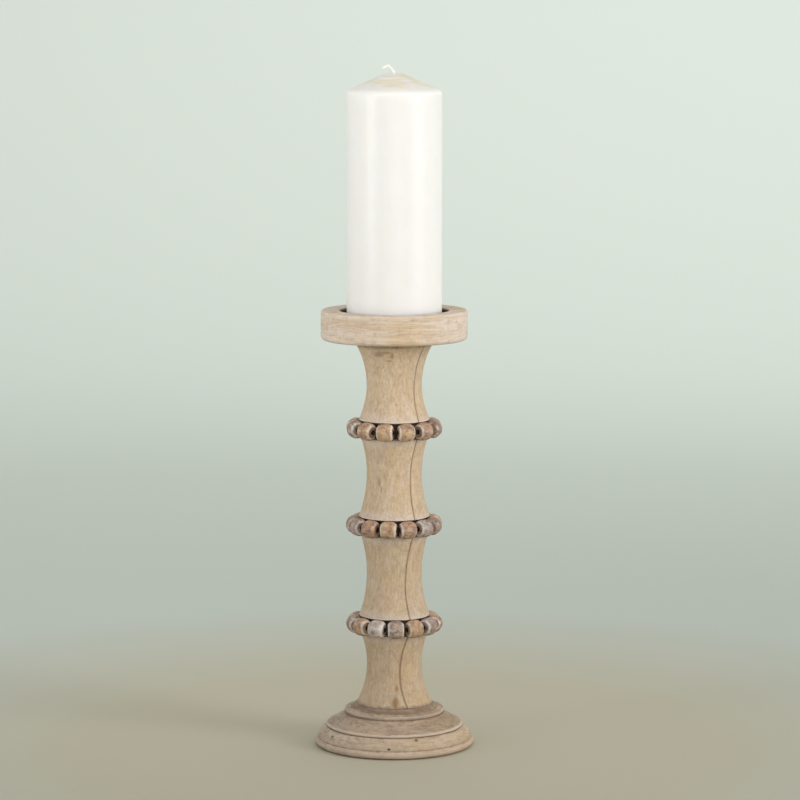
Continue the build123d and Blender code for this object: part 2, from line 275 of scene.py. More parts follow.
class Outline:
    """Half section of a turned piece in the XZ plane, drawn down its outside and spun round Z."""

    def __init__(self, radius, height):
        self.bm = bmesh.new()
        self.tip = self.bm.verts.new((radius, 0, height))
        self.corners = []

    def to(self, radius, height, bulge=0.0, rounding=0.0):
        """Go on to a point, straight or in an arc that bulges out of its chord, and round that corner."""
        start, end = self.tip.co.copy(), Vector((radius, 0, height))
        chord = end - start
        if bulge:
            outward = Vector((-chord.z, 0, chord.x)).normalized()
            arc_radius = (chord.length_squared / 4 + bulge**2) / (2 * bulge)
            made = bmesh.ops.spin(
                self.bm,
                geom=[self.tip],
                cent=(start + end) / 2 + outward * (bulge - arc_radius),
                axis=(0, 1, 0),
                angle=4 * math.atan2(2 * bulge, chord.length),
                steps=ARC_STEPS,
            )
            self.tip = made["geom_last"][0]
        else:
            self.tip = bmesh.ops.extrude_vert_indiv(self.bm, verts=[self.tip])["verts"][0]
        self.tip.co = end
        if rounding:
            self.corners.append((self.tip, rounding))

    def spun(self, steps, segment):
        """Round the corners, divide what is longer than a segment and spin the outline into a closed skin."""
        for corner, rounding in self.corners:
            bmesh.ops.bevel(
                self.bm,
                geom=[corner],
                offset=rounding,
                affect="VERTICES",
                segments=ROUND_STEPS,
                profile=0.5,
                material=-1,
            )
        for edge in self.bm.edges[:]:
            cuts = int(edge.calc_length() / segment)
            if cuts:
                bmesh.ops.subdivide_edges(self.bm, edges=[edge], cuts=cuts)
        bmesh.ops.spin(
            self.bm,
            geom=self.bm.verts[:] + self.bm.edges[:],
            cent=(0, 0, 0),
            axis=(0, 0, 1),
            angle=math.tau,
            steps=steps,
            use_merge=True,
        )
        return cleaned(self.bm)


def cleaned(bm):
    """Merge doubles, then point every face outwards."""
    bmesh.ops.remove_doubles(bm, verts=bm.verts[:], dist=MERGE)
    bmesh.ops.recalc_face_normals(bm, faces=bm.faces[:])
    bm.normal_update()
    return bm


def upright_bulge(run, rise):
    """Bulge of an arc that is upright at one end and leans out by run over its rise."""
    return math.hypot(run, rise) / 2 * math.tan(math.atan2(run, rise) / 2)


def wear_down(bm, depth, patch):
    """Take up to depth off the surface in soft patches, as hand sanding does."""
    for vert in bm.verts:
        vert.co -= vert.normal * depth * (0.5 + 0.5 * noise.noise(vert.co / patch))
    bm.normal_update()


def mark_wear(bm):
    """Write how sharply the surface turns, above 0 on edges and below 0 in hollows, and chip the edges."""
    layer = bm.verts.layers.float.new("curvature")
    for vert in bm.verts:
        turns = [
            2 * vert.normal.dot(vert.co - edge.other_vert(vert).co) / edge.calc_length() ** 2
            for edge in vert.link_edges
        ]
        vert[layer] = max(-1.0, min(1.0, MM * sum(turns) / len(turns)))
    for _ in range(2):
        spread = [sum(e.other_vert(v)[layer] for e in v.link_edges) / len(v.link_edges) for v in bm.verts]
        for vert, around in zip(bm.verts, spread):
            vert[layer] = (vert[layer] + around) / 2
    for vert in bm.verts:
        knock = max(0.0, noise.noise(vert.co / CHIP_PATCH) + 0.1) * min(0.4, max(0.0, vert[layer]))
        vert.co -= vert.normal * EDGE_CHIP * knock
    bm.normal_update()


def mark(bm, name, value_at):
    """Write a value of 0 to 1 to every vertex, from its place."""
    layer = bm.verts.layers.float.new(name)
    for vert in bm.verts:
        vert[layer] = max(0.0, min(1.0, value_at(vert.co)))


def show(bm, name, material, body, slot, *nodes):
    """Make a piece of a finished bmesh, ride it on its body and let it stand for its CAD nodes."""
    mesh = bpy.data.meshes.new(name)
    bm.to_mesh(mesh)
    bm.free()
    show_mesh(mesh, material, body, slot, *nodes)


def show_mesh(mesh, material, body, slot, *nodes):
    """Make a smooth piece of a mesh, ride it on its body and let it stand for its CAD nodes."""
    mesh.materials.clear()
    mesh.materials.append(material)
    mesh.shade_smooth()
    mesh.set_sharp_from_angle(angle=SHARP_ANGLE)
    piece = bpy.data.objects.new(mesh.name, mesh)
    bpy.context.scene.collection.objects.link(piece)
    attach(piece, body)
    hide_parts(*nodes)


def strands_mesh(name, lines, radius, closed, steps=2):
    """Mesh of round strands along smooth lines, or of bare lines where the radius is 0."""
    curve = bpy.data.curves.new(name, "CURVE")
    curve.dimensions = "3D"
    curve.bevel_depth = radius
    curve.bevel_resolution = 1
    curve.resolution_u = steps
    curve.use_fill_caps = True
    for line in lines:
        spline = curve.splines.new("NURBS")
        spline.points.add(len(line) - 1)
        for point, place in zip(spline.points, line):
            point.co = (*place, 1)
        spline.order_u = 3
        spline.use_cyclic_u = closed
        spline.use_endpoint_u = not closed
    holder = bpy.data.objects.new(name, curve)
    mesh = bpy.data.meshes.new_from_object(holder)
    bpy.data.objects.remove(holder)
    bpy.data.curves.remove(curve)
    mesh.name = name
    return mesh


# Finishes

def feed(tree, sockets, values):
    """Link each value that is another node's socket, and set the others as constants."""
    for name, value in values.items():
        if isinstance(value, bpy.types.NodeSocket):
            tree.links.new(value, sockets[name])
        else:
            sockets[name].default_value = value


def add(tree, kind, inputs=None, out=0, stops=(), **settings):
    """Add a node with its settings, ramp stops and inputs, and give one of its outputs."""
    node = tree.nodes.new(kind)
    for setting, value in settings.items():
        setattr(node, setting, value)
    if stops:
        ramp = node.color_ramp.elements
        while len(ramp) < len(stops):
            ramp.new(1.0)
        for element, (place, colour) in zip(ramp, stops):
            element.position = place
            element.color = rgba(colour)
    feed(tree, node.inputs, inputs or {})
    return node.outputs[out]


def new_finish(name):
    """Material with a Principled shader, its node tree and that shader's inputs."""
    material = bpy.data.materials.new(name)
    material.use_nodes = True
    return material, material.node_tree, material.node_tree.nodes["Principled BSDF"].inputs


def rgba(colour):
    """A colour with full alpha."""
    return (*colour, 1)


def sized(*millimetres):
    """Mapping scale that makes one texture unit this long along X, Y and Z."""
    return [1 / (size * MM) for size in millimetres]


MIX = {"kind": "ShaderNodeMix", "data_type": "RGBA", "out": 2}

# How far the grain of the wood wanders, and over what distance
GRAIN_DRIFT = 5 * MM
GRAIN_BEND = 34 * MM
# Distance between turning marks, wider than real so that they show
LATHE_PITCH = 1.2 * MM
# Small knots and resin streaks of the stem: middle and half size in millimetres, strength and tint
STEM_KNOTS = (
    ((0.5, -26.0, 36.5), (2.7, 6.0, 5.5), 0.9, "knot"),
    ((0.9, -24.0, 46.0), (1.7, 6.0, 3.0), 0.75, "knot"),
    ((-12.0, -24.0, 293.5), (4.2, 8.0, 2.6), 0.5, "stain"),
    ((-6.2, -25.0, 294.5), (4.0, 8.0, 1.0), 0.6, "knot"),
    ((-2.0, -25.0, 292.0), (1.5, 8.0, 2.4), 0.7, "knot"),
    ((-4.4, -24.5, 288.8), (3.0, 8.0, 0.8), 0.6, "knot"),
    ((1.2, -20.6, 256.0), (1.3, 3.0, 1.3), 0.6, "knot"),
    ((-10.4, -18.0, 199.0), (0.8, 5.0, 3.2), 0.5, "stain"),
    ((-8.8, -18.4, 193.0), (0.8, 5.0, 2.8), 0.45, "stain"),
)
# Small pits in the side of the base, in the same form
BASE_PITS = (
    ((-3.7, -56.4, 7.2), (1.5, 3.0, 1.0), 1.0, "soot_and_shade"),
    ((-45.6, -29.0, 11.0), (2.0, 3.0, 1.2), 0.9, "soot_and_shade"),
    ((16.4, -49.9, 13.2), (1.4, 3.0, 0.9), 0.8, "soot_and_shade"),
)


def washed_wood(
    name, tints, lie, broad, spots=(), seam=None, wash_share=0.5, warm_share=0.4, edge=0.6, pore_share=0.35
):
    """Whitewashed mango wood, turned and sanded: matt, fine in grain, pale, with stain and painted shade in
    its hollows.
    """
    material, tree, shader = new_finish(name)
    place = add(tree, "ShaderNodeTexCoord", out="Object")
    # Grain wanders by a few millimetres over a hand's breadth
    wander = add(
        tree, "ShaderNodeTexNoise", {"Vector": place, "Scale": 1 / GRAIN_BEND, "Detail": 2.0}, out="Color"
    )
    centred = add(tree, "ShaderNodeMapping", {"Vector": place, "Location": (-GRAIN_DRIFT / 2,) * 3})
    bent = add(
        tree, "ShaderNodeVectorMath", {0: wander, 1: (GRAIN_DRIFT,) * 3, 2: centred}, operation="MULTIPLY_ADD"
    )
    # Fine grain
    along_grain = add(tree, "ShaderNodeMapping", {"Vector": bent, "Scale": sized(*lie)})
    fine = add(
        tree, "ShaderNodeTexNoise", {"Vector": along_grain, "Scale": 1.0, "Detail": 5.0, "Roughness": 0.65}
    )
    grain = add(tree, "ShaderNodeMapRange", {"Value": fine, "From Min": 0.35, "From Max": 0.65})
    # Warm bands a few centimetres wide
    in_bands = add(tree, "ShaderNodeMapping", {"Vector": bent, "Scale": sized(*broad)})
    band = add(tree, "ShaderNodeTexNoise", {"Vector": in_bands, "Scale": 1.0, "Detail": 3.0})
    warmth = add(
        tree, "ShaderNodeMapRange", {"Value": band, "From Min": 0.42, "From Max": 0.68, "To Max": warm_share}
    )
    # Wash in soft blotches, more of it where the brush left it
    between = [math.sqrt(a * b) for a, b in zip(lie, broad)]
    in_blotches = add(tree, "ShaderNodeMapping", {"Vector": bent, "Scale": sized(*between)})
    blotch = add(
        tree, "ShaderNodeTexNoise", {"Vector": in_blotches, "Scale": 1.0, "Detail": 6.0, "Roughness": 0.7}
    )
    brushed = add(tree, "ShaderNodeAttribute", attribute_name="brushed", out="Fac")
    cover = add(tree, "ShaderNodeMath", {0: brushed, 1: 0.4, 2: blotch}, operation="MULTIPLY_ADD")
    wash = add(
        tree, "ShaderNodeMapRange", {"Value": cover, "From Min": 0.46, "From Max": 0.74, "To Max": wash_share}
    )
    # Mottling about 3 mm wide, where the wash has lifted
    speck = add(
        tree, "ShaderNodeTexNoise", {"Vector": bent, "Scale": 1 / (5 * MM), "Detail": 5.0, "Roughness": 0.75}
    )
    mottle = add(
        tree, "ShaderNodeMapRange", {"Value": speck, "From Min": 0.5, "From Max": 0.7, "To Max": 0.65}
    )
    # Open pores: short dashes, drawn about twice as wide as they are so that they show
    dashes = [max(0.8, size / 3) for size in lie]
    in_pores = add(tree, "ShaderNodeMapping", {"Vector": bent, "Scale": sized(*dashes)})
    pore = add(tree, "ShaderNodeTexNoise", {"Vector": in_pores, "Scale": 1.0, "Detail": 2.0})
    pores = add(
        tree, "ShaderNodeMapRange", {"Value": pore, "From Min": 0.54, "From Max": 0.72, "To Max": pore_share}
    )
    # Edges are rubbed pale here and there, partly a painted highlight, and hollows get stain and painted
    # shade
    curvature = add(tree, "ShaderNodeAttribute", attribute_name="curvature", out="Fac")
    broken = add(tree, "ShaderNodeMath", {0: curvature, 1: speck}, operation="MULTIPLY")
    rubbed_and_highlit = add(
        tree, "ShaderNodeMapRange", {"Value": broken, "From Min": 0.05, "From Max": 0.18, "To Max": edge}
    )
    hollow = add(
        tree, "ShaderNodeMapRange", {"Value": broken, "From Min": -0.02, "From Max": -0.2, "To Max": 0.7}
    )
    # Stain and painted shade where the piece is marked with them, in clouds, and painted deep shade in the
    # grooves and the recess
    stain = add(tree, "ShaderNodeAttribute", attribute_name="stain", out="Fac")
    cloudy = add(tree, "ShaderNodeMath", {0: blotch, 1: 2.0, 2: speck}, operation="MULTIPLY_ADD")
    patchy = add(tree, "ShaderNodeMath", {0: cloudy, 1: 0.34, 2: stain}, operation="MULTIPLY_ADD")
    stain_and_shade_share = add(
        tree, "ShaderNodeMapRange", {"Value": patchy, "From Min": 0.8, "From Max": 1.15, "To Max": 0.8}
    )
    painted_deep_shade = add(tree, "ShaderNodeAttribute", attribute_name="soot_and_shade", out="Fac")
    layers = [
        (grain, tints.wood_light),
        (warmth, tints.wood_warm),
        (wash, tints.wash),
        (mottle, tints.mottle),
        (pores, tints.pore),
        (rubbed_and_highlit, tints.wash),
        (hollow, tints.stain),
        (stain_and_shade_share, tints.stain),
        (painted_deep_shade, tints.soot_and_shade),
    ]
    for middle, spread, strength, spot_tint in spots:
        layers.append((spot_share(tree, bent, middle, spread, strength), getattr(tints, spot_tint)))
    if seam:
        layers.append((glue_share(tree, place, *seam), tints.glue))
    colour = rgba(tints.wood_dark)
    for share, layer_tint in layers:
        colour = add(tree, inputs={0: share, 6: colour, 7: rgba(layer_tint)}, **MIX)
    # Sanded wood is matt, and a little smoother where the wash fills it
    rough = add(
        tree, "ShaderNodeMapRange", {"Value": wash, "From Max": wash_share, "To Min": 0.7, "To Max": 0.58}
    )
    lathe = add(
        tree,
        "ShaderNodeTexWave",
        {"Vector": place, "Scale": math.pi / 10 / LATHE_PITCH, "Distortion": 1.5, "Detail": 1.0},
        out="Fac",
        bands_direction="Z",
    )
    relief = add(tree, "ShaderNodeMath", {0: lathe, 1: 0.25, 2: grain}, operation="MULTIPLY_ADD")
    relief = add(tree, "ShaderNodeMath", {0: relief, 1: pores}, operation="SUBTRACT")
    bump = add(tree, "ShaderNodeBump", {"Height": relief, "Strength": 0.5, "Distance": 0.2 * MM})
    feed(tree, shader, {"Base Color": colour, "Roughness": rough, "Normal": bump})
    return material


def spot_share(tree, place, middle, spread, strength):
    """Share of a knot's or pit's tint, which fades out from its middle."""
    from_middle = add(
        tree,
        "ShaderNodeMapping",
        {"Vector": place, "Location": [m * MM for m in middle], "Scale": [s * MM for s in spread]},
        vector_type="TEXTURE",
    )
    away = add(tree, "ShaderNodeVectorMath", {0: from_middle}, out="Value", operation="LENGTH")
    return add(
        tree,
        "ShaderNodeMapRange",
        {"Value": away, "From Min": 1.3, "From Max": 0.3, "To Max": strength},
        interpolation_type="SMOOTHSTEP",
    )


def glue_share(tree, place, origin, normal, half_width):
    """Share of the glue's tint, which fades out to both sides of the seam's plane."""
    off_plane = add(tree, "ShaderNodeVectorMath", {0: place, 1: origin}, operation="SUBTRACT")
    distance = add(
        tree, "ShaderNodeVectorMath", {0: off_plane, 1: normal}, out="Value", operation="DOT_PRODUCT"
    )
    far = add(tree, "ShaderNodeMath", {0: distance}, operation="ABSOLUTE")
    return add(
        tree,
        "ShaderNodeMapRange",
        {"Value": far, "From Min": 1.9 * half_width, "From Max": 0.5 * half_width, "To Max": 0.8},
    )


# Stains of the beads: mauve, brown, red-brown, ochre and tan
BEAD_STAINS = ("#A79389", "#8A7262", "#B18A72", "#B7926A", "#BFA385")


def bead_wood(tints):
    """Stained wooden beads with a worn white wash: satin where the wash is polished, with painted shade at
    the holes and on the flat ends.
    """
    material, tree, shader = new_finish("worn washed bead wood")
    place = add(tree, "ShaderNodeAttribute", attribute_name="bead_place", out="Vector")
    core, wash_share, end_shade = (
        add(tree, "ShaderNodeAttribute", attribute_name=name, out="Fac") for name in ("core", "wash", "end_shade")
    )
    # Soft patches of other stain, 3.5 mm wide
    lie = add(tree, "ShaderNodeMapping", {"Vector": place, "Scale": sized(3.5, 3.5, 7.0)})
    streak = add(tree, "ShaderNodeTexNoise", {"Vector": lie, "Scale": 1.0, "Detail": 5.0, "Roughness": 0.65})
    shade = add(
        tree,
        "ShaderNodeMapRange",
        {"Value": streak, "From Min": 0.34, "From Max": 0.66, "To Min": -0.45, "To Max": 0.45},
    )
    tone = add(tree, "ShaderNodeMath", {0: core, 1: shade}, operation="ADD", use_clamp=True)
    last = len(BEAD_STAINS) - 1
    stops = [(number / last, linear(stain)) for number, stain in enumerate(BEAD_STAINS)]
    colour = add(tree, "ShaderNodeValToRGB", {"Fac": tone}, stops=stops)
    # Dark stain in dabs about 2 mm wide
    dab = add(
        tree,
        "ShaderNodeTexNoise",
        {"Vector": place, "Scale": 1 / (3.5 * MM), "Detail": 5.0, "Roughness": 0.75},
    )
    dabs = add(tree, "ShaderNodeMapRange", {"Value": dab, "From Min": 0.47, "From Max": 0.67, "To Max": 0.7})
    # Wash breaks up in flecks about 2 mm wide
    fleck = add(
        tree,
        "ShaderNodeTexNoise",
        {"Vector": place, "Scale": 1 / (3.0 * MM), "Detail": 5.0, "Roughness": 0.72},
        out="Color",
    )
    fleck = add(tree, "ShaderNodeSeparateColor", {"Color": fleck}, out="Green")
    cover = add(tree, "ShaderNodeMath", {0: wash_share, 1: fleck}, operation="ADD")
    wash = add(
        tree, "ShaderNodeMapRange", {"Value": cover, "From Min": 0.54, "From Max": 0.9, "To Max": 0.88}
    )
    # Dark dabs of stain, then the wash, then painted shade at the holes and on the flat ends
    for share, layer_tint in ((dabs, tints.bead_dirt_and_shade), (wash, tints.bead_wash), (end_shade, tints.bead_dirt_and_shade)):
        colour = add(tree, inputs={0: share, 6: colour, 7: rgba(layer_tint)}, **MIX)
    rough = add(tree, "ShaderNodeMapRange", {"Value": wash, "To Min": 0.5, "To Max": 0.3})
    relief = add(tree, "ShaderNodeMath", {0: streak, 1: dabs}, operation="SUBTRACT")
    bump = add(tree, "ShaderNodeBump", {"Height": relief, "Strength": 0.6, "Distance": 0.3 * MM})
    feed(tree, shader, {"Base Color": colour, "Roughness": rough, "Normal": bump})
    return material


def cotton(name, colour, fibre, roughness):
    """Cotton or felt fibres: matt, with fine shadows between the fibres."""
    material, tree, shader = new_finish(name)
    place = add(tree, "ShaderNodeTexCoord", out="Object")
    fibres = add(tree, "ShaderNodeTexNoise", {"Vector": place, "Scale": 1 / (fibre * MM), "Detail": 3.0})
    shade = add(tree, "ShaderNodeMapRange", {"Value": fibres, "From Min": 0.3, "From Max": 0.7})
    dark = [part * 0.72 for part in colour]
    tone = add(tree, inputs={0: shade, 6: rgba(dark), 7: rgba(colour)}, **MIX)
    bump = add(tree, "ShaderNodeBump", {"Height": fibres, "Strength": 0.5, "Distance": 0.1 * MM})
    feed(tree, shader, {"Base Color": tone, "Roughness": roughness, "Sheen Weight": 0.15, "Normal": bump})
    return material


def candle_wax(tints):
    """Bleached paraffin wax, moulded: light soaks in, and the skin has a soft gloss with faint clouding."""
    material, tree, shader = new_finish("moulded paraffin wax")
    place = add(tree, "ShaderNodeTexCoord", out="Object")
    cloud = add(tree, "ShaderNodeTexNoise", {"Vector": place, "Scale": 1 / (14 * MM), "Detail": 3.0})
    clouds = add(tree, "ShaderNodeMapRange", {"Value": cloud, "From Min": 0.35, "From Max": 0.7})
    cream = [part * share for part, share in zip(tints.wax, (0.985, 0.98, 0.972))]
    tone = add(tree, inputs={0: clouds, 6: rgba(tints.wax), 7: rgba(cream)}, **MIX)
    # Painted shade on the pointed top: a darker cream in streaks round it
    lie = add(tree, "ShaderNodeMapping", {"Vector": place, "Scale": sized(16.0, 16.0, 1.6)})
    streak = add(tree, "ShaderNodeTexNoise", {"Vector": lie, "Scale": 1.0, "Detail": 3.0})
    streaks = add(tree, "ShaderNodeMapRange", {"Value": streak, "From Min": 0.35, "From Max": 0.65})
    shaded_top = add(tree, "ShaderNodeAttribute", attribute_name="shaded_top", out="Fac")
    top_shade = add(tree, "ShaderNodeMath", {0: streaks, 1: shaded_top}, operation="MULTIPLY")
    tone = add(tree, inputs={0: top_shade, 6: tone, 7: rgba(tints.top_shade)}, **MIX)
    rough = add(tree, "ShaderNodeMapRange", {"Value": clouds, "To Min": 0.36, "To Max": 0.44})
    ripple = add(tree, "ShaderNodeTexNoise", {"Vector": place, "Scale": 1 / (5 * MM), "Detail": 2.0})
    bump = add(tree, "ShaderNodeBump", {"Height": ripple, "Strength": 0.25, "Distance": 0.1 * MM})
    feed(tree, shader, {"Base Color": tone, "Roughness": rough, "Normal": bump, "IOR": 1.44})
    soak = {"Subsurface Weight": 0.8, "Subsurface Radius": (1.0, 0.85, 0.65), "Subsurface Scale": 12 * MM}
    feed(tree, shader, soak)
    return material


def drawn_steel(tints):
    """Plain drawn steel: grey, with fine lines along its length that spread the gloss."""
    material, tree, shader = new_finish("drawn steel")
    place = add(tree, "ShaderNodeTexCoord", out="Object")
    lie = add(tree, "ShaderNodeMapping", {"Vector": place, "Scale": sized(0.3, 0.3, 12.0)})
    lines = add(tree, "ShaderNodeTexNoise", {"Vector": lie, "Scale": 1.0, "Detail": 3.0})
    dull = [part * 0.8 for part in tints.steel]
    tone = add(tree, inputs={0: lines, 6: rgba(dull), 7: rgba(tints.steel)}, **MIX)
    rough = add(tree, "ShaderNodeMapRange", {"Value": lines, "To Min": 0.26, "To Max": 0.42})
    bump = add(tree, "ShaderNodeBump", {"Height": lines, "Strength": 0.2, "Distance": 0.05 * MM})
    feed(tree, shader, {"Base Color": tone, "Metallic": 1.0, "Roughness": rough, "Normal": bump})
    return material


def pale_floor(tints):
    """Matt paint of floor and backdrop: warm round the stand and cooler further off, with no pattern."""
    material, tree, shader = new_finish("matt floor paint")
    place = add(tree, "ShaderNodeTexCoord", out="Object")
    away = add(tree, "ShaderNodeVectorMath", {0: place}, out="Value", operation="LENGTH")
    share = add(tree, "ShaderNodeMapRange", {"Value": away, "From Max": TINTED_REACH})
    stops = [
        (0.06, tints.floor_near),
        (0.14, tints.floor_middle),
        (0.35, tints.floor_middle),
        (0.8, tints.floor_far),
    ]
    tone = add(tree, "ShaderNodeValToRGB", {"Fac": share}, stops=stops)
    feed(tree, shader, {"Base Color": tone, "Roughness": 0.9})
    return material


# Stage, in metres, degrees and watts

FLOOR_END = 2.2
HALF_FLOOR = 9.0
SWEEP_RADIUS = 1.0
BACKDROP_RISE = 5.0
# How far from the stand the floor's tints reach
TINTED_REACH = 4.0
# Name, place, target, width, height, spread and power of each soft lamp
LAMPS = (
    ("key", (0.95, -0.55, 0.60), (0, 0, 0.42), 0.5, 0.6, 60, 1.2),
    ("fill", (-1.0, -0.65, 0.60), (0, 0, 0.46), 0.4, 0.5, 30, 0.4),
    ("front", (0.15, -1.6, 0.62), (0, 0, 0.42), 0.5, 0.5, 40, 0.22),
    ("backdrop", (0.7, 1.5, 2.2), (0.7, 3.2, 0.5), 3.0, 0.8, 180, 27.0),
)
DAYLIGHT_STRENGTH = 0.74
# The camera looks along +Y, and down by its tilt
CAMERA_PLACE = (0.0042, -2.480, 0.566)
CAMERA_TILT = 7.1
CAMERA_LENS = 153.0


def sweep_floor():
    """Mesh of a floor that curves up into the backdrop."""
    bm = bmesh.new()
    middle = Matrix.Translation((0, FLOOR_END - HALF_FLOOR, 0))
    bmesh.ops.create_grid(bm, x_segments=1, y_segments=1, size=HALF_FLOOR, matrix=middle)
    back = [edge for edge in bm.edges if all(vert.co.y > FLOOR_END - MM for vert in edge.verts)]
    made = bmesh.ops.spin(
        bm, geom=back, cent=(0, FLOOR_END, SWEEP_RADIUS), axis=(1, 0, 0), angle=math.pi / 2, steps=32
    )
    top = [part for part in made["geom_last"] if isinstance(part, bmesh.types.BMEdge)]
    made = bmesh.ops.extrude_edge_only(bm, edges=top)
    raised = [part for part in made["geom"] if isinstance(part, bmesh.types.BMVert)]
    bmesh.ops.translate(bm, vec=(0, 0, BACKDROP_RISE), verts=raised)
    mesh = bpy.data.meshes.new("floor")
    cleaned(bm).to_mesh(mesh)
    bm.free()
    mesh.shade_smooth()
    return mesh


def placed(name, data, place=(0, 0, 0), turn=(0, 0, 0)):
    """Object for a mesh, lamp or camera of the stage, put into the scene."""
    holder = bpy.data.objects.new(name, data)
    holder.location = place
    holder.rotation_euler = turn
    bpy.context.scene.collection.objects.link(holder)
    return holder


class CANDLE_STAND_OT_stage(bpy.types.Operator):
    """Add the floor with its backdrop, the soft lamps, the world and the camera at the photograph's angle"""

    bl_idname = "candle_stand.stage"
    bl_label = "Stage"

    def execute(self, context):
        scene = context.scene
        floor = placed("floor", sweep_floor())
        floor.data.materials.append(pale_floor(scene.candle_stand.tints))
        for name, place, target, width, tall, spread, power in LAMPS:
            lamp = bpy.data.lights.new(name, "AREA")
            lamp.shape = "RECTANGLE"
            lamp.size = width
            lamp.size_y = tall
            lamp.spread = math.radians(spread)
            lamp.energy = power
            aim = Vector(target) - Vector(place)
            placed(name, lamp, place, aim.to_track_quat("-Z", "Y").to_euler())
        world = bpy.data.worlds.new("soft daylight")
        world.use_nodes = True
        sky = world.node_tree.nodes["Background"]
        sky.inputs["Color"].default_value = rgba(linear("#F6F6F4"))
        sky.inputs["Strength"].default_value = DAYLIGHT_STRENGTH
        scene.world = world
        camera = bpy.data.cameras.new("camera")
        camera.sensor_width = 36.0
        camera.lens = CAMERA_LENS
        camera.clip_end = 50.0
        scene.camera = placed("camera", camera, CAMERA_PLACE, (math.radians(90 - CAMERA_TILT), 0, 0))
        scene.view_settings.view_transform = "Standard"
        return {"FINISHED"}


# Pieces

SEAM_AZIMUTH = math.radians(51.4)
WAIST_SHARES = (0.44, 0.55, 0.51, 0.55)


class CANDLE_STAND_OT_base(bpy.types.Operator):
    """Turn the base with its mouldings"""

    bl_idname = "candle_stand.base"
    bl_label = "Base"

    def execute(self, context):
        settings = context.scene.candle_stand
        sizes = settings.base
        foot_root = radius_of("base") - sizes.foot_bead_bulge
        foot_top = BASE_UNDERSIDE + sizes.foot_bead_height
        lip_radius = foot_root - sizes.ovolo_width
        ovolo_top = foot_top + sizes.ovolo_height
        lip_top = ovolo_top + sizes.lip_height
        top_radius = settings.stem.lip_radius + settings.stem.foot_flare + sizes.cove_reveal
        step_radius = top_radius + sizes.cove_width
        step_top = BASE_TOP - sizes.cove_height
        slope_top = step_top - sizes.step_height
        felt_radius = radius_of("base_felt") + sizes.felt_gap
        outline = Outline(sizes.mortise_radius, BASE_TOP)
        outline.to(top_radius, BASE_TOP)
        outline.to(step_radius, step_top, -upright_bulge(sizes.cove_height, sizes.cove_width))
        outline.to(step_radius, slope_top, sizes.step_bulge)
        outline.to(lip_radius, lip_top, -sizes.slope_hollow)
        outline.to(lip_radius, ovolo_top, sizes.lip_bulge)
        outline.to(foot_root, foot_top, upright_bulge(sizes.ovolo_width, sizes.ovolo_height))
        outline.to(foot_root, BASE_UNDERSIDE, sizes.foot_bead_bulge)
        outline.to(felt_radius, BASE_UNDERSIDE)
        outline.to(felt_radius, FELT_TOP)
        outline.to(sizes.counterbore_radius, FELT_TOP)
        outline.to(sizes.counterbore_radius, sizes.counterbore_top)
        outline.to(sizes.shank_hole_radius, sizes.counterbore_top)
        outline.to(sizes.shank_hole_radius, sizes.mortise_bottom)
        outline.to(sizes.mortise_radius, sizes.mortise_bottom)
        outline.to(sizes.mortise_radius, BASE_TOP)
        bm = outline.spun(steps=224, segment=1.0 * MM)
        wear_down(bm, SANDED_DEPTH, patch=14 * MM)
        mark_wear(bm)
        for middle, spread, strength, _ in BASE_PITS:
            dig_pit(bm, Vector(middle) * MM, reach=1.4 * spread[0] * MM, depth=0.6 * MM * strength)
        mark(bm, "brushed", lambda co: 0.3 - 0.4 * co.x / foot_root)

        def painted_base_shade(co):
            """Painted shade in the cove round the stem, thinner on the slope, and thinner still on the side,
            more of it to the left.
            """
            side = co.x / foot_root
            in_cove = min(0.6, 0.5 * (co.z - step_top + 0.3 * MM) / MM)
            on_slope = co.z > lip_top + 0.2 * MM
            return max(in_cove, 0.4 + 0.1 * abs(side) if on_slope else 0.25 - 0.1 * side)

        mark(bm, "stain", painted_base_shade)
        wood = washed_wood(
            "whitewashed wood base",
            settings.tints,
            lie=(16.0, 16.0, 1.6),
            broad=(40.0, 40.0, 9.0),
            spots=BASE_PITS,
            edge=0.7,
            pore_share=0.5,
        )
        show(bm, "turned_base", wood, "stand", "washed_wood", "base")
        return {"FINISHED"}


def dig_pit(bm, middle, reach, depth):
    """Sink the surface round a point, most at the point and no more at its reach."""
    for vert in bm.verts:
        away = (vert.co - middle).length / reach
        vert.co -= vert.normal * depth * max(0.0, 1 - away)


class CANDLE_STAND_OT_felt(bpy.types.Operator):
    """Add the felt disc under the base"""

    bl_idname = "candle_stand.felt"
    bl_label = "Felt"

    def execute(self, context):
        tints = context.scene.candle_stand.tints
        radius = radius_of("base_felt")
        outline = Outline(0, FELT_TOP)
        outline.to(radius, FELT_TOP, rounding=0.5 * MM)
        outline.to(radius, FELT_BOTTOM, rounding=0.5 * MM)
        outline.to(0, FELT_BOTTOM)
        bm = outline.spun(steps=128, segment=3.0 * MM)
        felt = cotton("pressed brown felt", tints.felt, 0.8, 0.95)
        show(bm, "felt_disc", felt, "stand", "felt", "base_felt")
        return {"FINISHED"}


